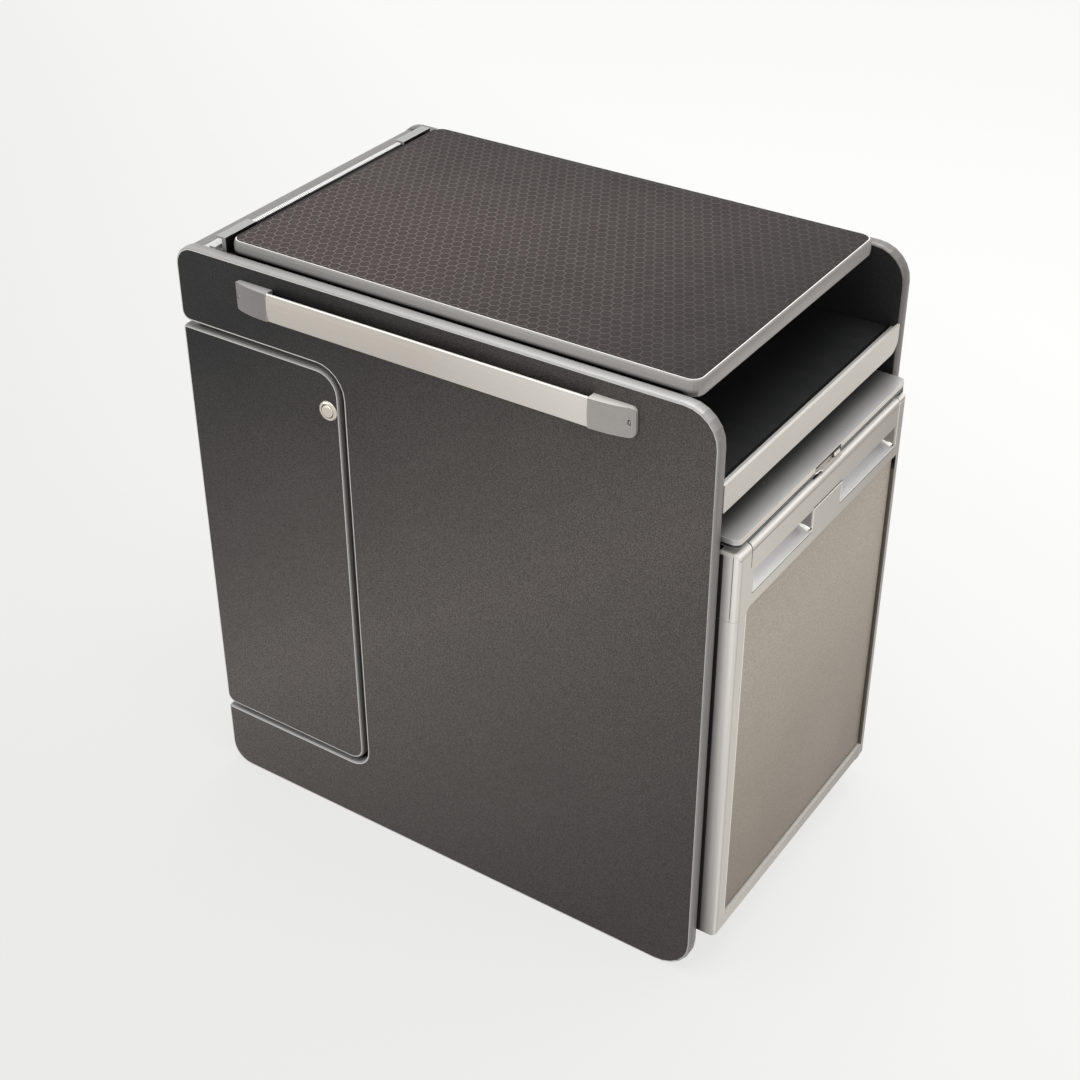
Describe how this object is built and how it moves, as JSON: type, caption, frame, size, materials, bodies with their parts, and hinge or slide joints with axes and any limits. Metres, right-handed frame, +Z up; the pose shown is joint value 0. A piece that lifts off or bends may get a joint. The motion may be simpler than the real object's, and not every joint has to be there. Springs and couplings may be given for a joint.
{
  "type": "campervan kitchen pod",
  "caption": "Narrow campervan kitchen cabinet between two round-cornered panels, with a flip-over lid, a side locker with a push lock, a grab rail and a built-in fridge at one end.",
  "frame": {"origin": "bottom centre of the bounding box, on the floor that the two long panels stand on", "axes": "+Z up, +X along the pod towards the fridge door, -Y towards the side with the grab rail and the locker door"},
  "size_m": [0.69, 0.432, 0.7375],
  "materials": {
    "laminate": "matte",
    "inner_laminate": "matte",
    "edging": "satin",
    "lid_film": "satin",
    "champagne_aluminium": "satin",
    "bright_aluminium": "satin",
    "satin_nickel": "satin",
    "zinc_steel": "satin",
    "cap_plastic": "satin",
    "fridge_silver": "satin",
    "fridge_plate": "satin",
    "fridge_panel": "satin",
    "cabinet_shell": "matte",
    "white_plastic": "satin",
    "seal_rubber": "matte",
    "black_enamel": "gloss",
    "dark_plastic": "satin"
  },
  "bodies": {
    "pod": {"back_panel": "laminate", "back_panel_edging": "edging", "base_panel": "inner_laminate", "compressor": "black_enamel", "compressor_electronics": "dark_plastic", "compressor_tray": "zinc_steel", "condenser": "bright_aluminium", "end_panel": "laminate", "end_panel_edging": "edging", "fridge_cabinet": "cabinet_shell", "fridge_evaporator": "bright_aluminium", "fridge_hinge_bottom": "zinc_steel", "fridge_hinge_top": "zinc_steel", "fridge_latch_body": "fridge_silver", "fridge_liner": "white_plastic", "fridge_shelf_lower": "white_plastic", "fridge_shelf_upper": "white_plastic", "fridge_top_plate": "fridge_plate", "front_panel": "laminate", "front_panel_edging": "edging", "hinge_block_back": "edging", "hinge_block_front": "edging", "lid_hinge_pin": "zinc_steel", "lid_hinge_profile": "bright_aluminium", "lid_rest_back": "inner_laminate", "lid_rest_front": "inner_laminate", "lock_strike": "zinc_steel", "locker_hinge_bottom_fixed": "zinc_steel", "locker_hinge_top_fixed": "zinc_steel", "partition": "inner_laminate", "rail_bar": "champagne_aluminium", "rail_cap_left": "cap_plastic", "rail_cap_right": "cap_plastic", "shelf": "inner_laminate", "shelf_lip": "champagne_aluminium", "thermostat_housing": "white_plastic"},
    "locker_door": {"locker_door": "laminate", "locker_door_edging": "edging", "lock_rosette": "satin_nickel", "lock_case": "dark_plastic", "locker_hinge_bottom_leaf": "zinc_steel", "locker_hinge_top_leaf": "zinc_steel"},
    "lock_button": {"lock_button": "satin_nickel"},
    "lock_bolt": {"lock_bolt": "zinc_steel"},
    "lid": {"lid_board": "inner_laminate", "lid_edging": "edging", "lid_top_sheet": "lid_film", "lid_hinge_leaf": "bright_aluminium"},
    "fridge_door": {"fridge_door_frame": "fridge_silver", "fridge_door_core": "white_plastic", "fridge_door_insert": "fridge_panel", "fridge_door_top": "fridge_silver", "fridge_door_plate": "fridge_silver", "fridge_door_band": "fridge_silver", "fridge_door_seal": "seal_rubber", "fridge_door_liner": "white_plastic", "fridge_rack_upper": "white_plastic", "fridge_rack_lower": "white_plastic"},
    "latch_button": {"fridge_latch_button": "fridge_silver"},
    "thermostat_dial": {"thermostat_dial": "dark_plastic"}
  },
  "joints": [
    {"name": "locker_door_hinge", "type": "hinge", "parent": "pod", "child": "locker_door", "pos_m": [-0.3385, -0.1853, 0.3615], "axis": [0, 0, -1], "range_deg": [0, 110]},
    {"name": "lock_button_slide", "type": "slide", "parent": "locker_door", "child": "lock_button", "axis": [0, -1, 0], "range_m": [0, 0.009]},
    {"name": "lock_bolt_slide", "type": "slide", "parent": "locker_door", "child": "lock_bolt", "axis": [-1, 0, 0], "range_m": [0, 0.006]},
    {"name": "lid_hinge", "type": "hinge", "parent": "pod", "child": "lid", "pos_m": [-0.297, 0.006, 0.7305], "axis": [0, -1, 0], "range_deg": [0, 180]},
    {"name": "fridge_door_hinge", "type": "hinge", "parent": "pod", "child": "fridge_door", "pos_m": [0.337, 0.188, 0.3095], "axis": [0, 0, 1], "range_deg": [0, 105]},
    {"name": "latch_button_slide", "type": "slide", "parent": "pod", "child": "latch_button", "axis": [0, -1, 0], "range_m": [0, 0.012]},
    {"name": "thermostat_turn", "type": "hinge", "parent": "pod", "child": "thermostat_dial", "pos_m": [0.2, 0.1395, 0.5208], "axis": [0, -1, 0], "range_deg": [0, 270]}
  ],
  "couplings": [
    {"joint": "lock_bolt_slide", "follows": "lock_button_slide", "ratio": 0.6666}
  ]
}
